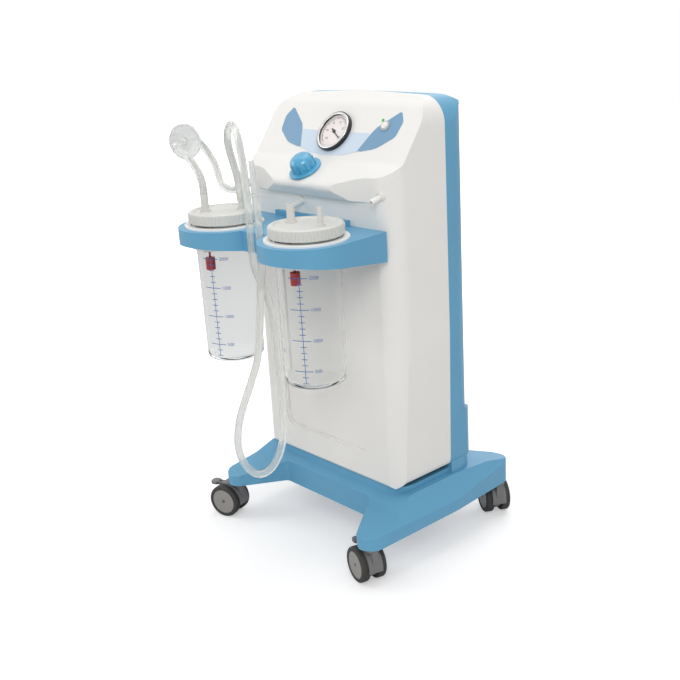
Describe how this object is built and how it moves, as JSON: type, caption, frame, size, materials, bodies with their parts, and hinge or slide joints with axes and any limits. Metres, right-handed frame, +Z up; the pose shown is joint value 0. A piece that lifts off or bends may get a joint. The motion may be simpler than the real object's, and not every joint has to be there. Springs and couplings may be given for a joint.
{
  "type": "vacuum aspirator",
  "caption": "Trolley suction aspirator: castored base, upright housing with gauge and regulator knob, two graduated jars in a double ring, filter and hose.",
  "frame": {"origin": "floor point under the centre of the box the trolley fills without its hoses", "axes": "+Z up; the console, the jars and the front face -Y; +X is to the right of a person who faces the console"},
  "size_m": [0.5004, 0.5227, 0.855],
  "materials": {
    "white_plastic": "satin",
    "blue_plastic": "satin",
    "label_film": "satin",
    "clear_plastic": "clear",
    "lid_plastic": "satin",
    "black_plastic": "satin",
    "chrome": "polished",
    "dial": "matt",
    "needle": "matt",
    "glass": "clear",
    "knob_plastic": "glossy",
    "grey_plastic": "satin",
    "tyre": "matt",
    "disc_plastic": "satin",
    "hose_clear": "clear",
    "filter_plastic": "satin",
    "screw_steel": "plated",
    "pump_aluminium": "cast",
    "motor_paint": "satin",
    "mount_rubber": "matt",
    "board": "satin",
    "valve_brass": "machined",
    "float_plastic": "satin"
  },
  "bodies": {
    "trolley": {"front_housing": "white_plastic", "rear_cover": "blue_plastic", "base_frame": "blue_plastic", "jar_bracket": "blue_plastic", "fascia_panel": "label_film", "regulator_valve": "valve_brass", "mains_inlet": "black_plastic", "filter_body": "filter_plastic", "hose_to_filter": "hose_clear", "hose_to_housing": "hose_clear", "patient_hose": "hose_clear", "conical_fitting": "filter_plastic", "gauge_case": "black_plastic", "gauge_bezel": "black_plastic", "gauge_ring": "chrome", "gauge_dial": "dial", "gauge_glass": "glass", "power_switch": "grey_plastic", "power_lamp": "float_plastic", "hose_spigots": "white_plastic", "pump_plate": "screw_steel", "pump_mounts": "mount_rubber", "pump_motor": "motor_paint", "pump_crankcases": "pump_aluminium", "pump_heads": "pump_aluminium", "run_capacitor": "white_plastic", "control_board": "board", "exhaust_silencer": "black_plastic", "cover_screws": "screw_steel", "bracket_screws": "screw_steel", "inlet_screws": "screw_steel", "collar_left": "white_plastic", "jar_left": "clear_plastic", "lid_left": "lid_plastic", "collar_right": "white_plastic"},
    "gauge_pointer": {"gauge_needle": "needle"},
    "vacuum_knob": {"regulator_knob": "knob_plastic"},
    "start_button": {"power_button": "white_plastic"},
    "fan_rotor": {"cooling_fan": "white_plastic"},
    "fuse_tray": {"fuse_drawer": "black_plastic"},
    "float_body_left": {"float_left": "float_plastic"},
    "float_body_right": {"float_right": "float_plastic"},
    "jar_body_right": {"jar_right": "clear_plastic"},
    "lid_body_right": {"lid_right": "lid_plastic"},
    "swivel_front_left": {"castor_yoke_front_left": "grey_plastic"},
    "wheels_front_left": {"castor_discs_front_left": "disc_plastic", "castor_tyres_front_left": "tyre"},
    "pedal_front_left": {"brake_pedal_front_left": "grey_plastic"},
    "swivel_front_right": {"castor_yoke_front_right": "grey_plastic"},
    "wheels_front_right": {"castor_discs_front_right": "disc_plastic", "castor_tyres_front_right": "tyre"},
    "pedal_front_right": {"brake_pedal_front_right": "grey_plastic"},
    "swivel_rear_left": {"castor_yoke_rear_left": "grey_plastic"},
    "wheels_rear_left": {"castor_discs_rear_left": "disc_plastic", "castor_tyres_rear_left": "tyre"},
    "swivel_rear_right": {"castor_yoke_rear_right": "grey_plastic"},
    "wheels_rear_right": {"castor_discs_rear_right": "disc_plastic", "castor_tyres_rear_right": "tyre"}
  },
  "joints": [
    {"name": "swivel_turn_front_left", "type": "hinge", "parent": "trolley", "child": "swivel_front_left", "pos_m": [-0.183, -0.144, 0], "axis": [0, 0, 1], "continuous": true},
    {"name": "wheels_roll_front_left", "type": "hinge", "parent": "swivel_front_left", "child": "wheels_front_left", "pos_m": [-0.20569, -0.15181, 0.034], "axis": [0.3256, -0.9455, 0], "continuous": true},
    {"name": "pedal_press_front_left", "type": "hinge", "parent": "swivel_front_left", "child": "pedal_front_left", "pos_m": [-0.21798, -0.15605, 0.0645], "axis": [0.3256, -0.9455, 0], "range_deg": [0, 12]},
    {"name": "swivel_turn_front_right", "type": "hinge", "parent": "trolley", "child": "swivel_front_right", "pos_m": [0.223, -0.144, 0], "axis": [0, 0, 1], "continuous": true},
    {"name": "wheels_roll_front_right", "type": "hinge", "parent": "swivel_front_right", "child": "wheels_front_right", "pos_m": [0.19982, -0.13779, 0.034], "axis": [-0.2588, -0.9659, 0], "continuous": true},
    {"name": "pedal_press_front_right", "type": "hinge", "parent": "swivel_front_right", "child": "pedal_front_right", "pos_m": [0.18726, -0.13442, 0.0645], "axis": [-0.2588, -0.9659, 0], "range_deg": [0, 12]},
    {"name": "swivel_turn_rear_left", "type": "hinge", "parent": "trolley", "child": "swivel_rear_left", "pos_m": [-0.183, 0.212, 0], "axis": [0, 0, 1], "continuous": true},
    {"name": "wheels_roll_rear_left", "type": "hinge", "parent": "swivel_rear_left", "child": "wheels_rear_left", "pos_m": [-0.20664, 0.21617, 0.034], "axis": [-0.1736, -0.9848, 0], "continuous": true},
    {"name": "swivel_turn_rear_right", "type": "hinge", "parent": "trolley", "child": "swivel_rear_right", "pos_m": [0.219, 0.212, 0], "axis": [0, 0, 1], "continuous": true},
    {"name": "wheels_roll_rear_right", "type": "hinge", "parent": "swivel_rear_right", "child": "wheels_rear_right", "pos_m": [0.19822, 0.224, 0.034], "axis": [-0.5, -0.866, 0], "continuous": true},
    {"name": "needle_sweep", "type": "hinge", "parent": "trolley", "child": "gauge_pointer", "pos_m": [0.02, 0.00451, 0.787], "axis": [0, -0.809, 0.5878], "range_deg": [0, 260]},
    {"name": "knob_turn", "type": "hinge", "parent": "trolley", "child": "vacuum_knob", "pos_m": [0.005, -0.059, 0.72671], "axis": [0, -0.4848, 0.8746], "range_deg": [0, 900]},
    {"name": "button_press", "type": "slide", "parent": "trolley", "child": "start_button", "axis": [0, 0.809, -0.5878], "range_m": [0, 0.003], "stiffness_N_per_m": 500},
    {"name": "fan_spin", "type": "hinge", "parent": "trolley", "child": "fan_rotor", "pos_m": [0.02, 0.02, 0.214], "axis": [1, 0, 0], "continuous": true},
    {"name": "fuse_tray_pull", "type": "slide", "parent": "trolley", "child": "fuse_tray", "axis": [0, 1, 0], "range_m": [0, 0.018]},
    {"name": "float_lift_left", "type": "slide", "parent": "trolley", "child": "float_body_left", "axis": [0, 0, 1], "range_m": [0, 0.012]},
    {"name": "jar_lift_right", "type": "slide", "parent": "trolley", "child": "jar_body_right", "axis": [0, 0, 1], "range_m": [0, 0.27]},
    {"name": "lid_lift_right", "type": "slide", "parent": "jar_body_right", "child": "lid_body_right", "axis": [0, 0, 1], "range_m": [0, 0.06]},
    {"name": "float_lift_right", "type": "slide", "parent": "lid_body_right", "child": "float_body_right", "axis": [0, 0, 1], "range_m": [0, 0.012]}
  ]
}
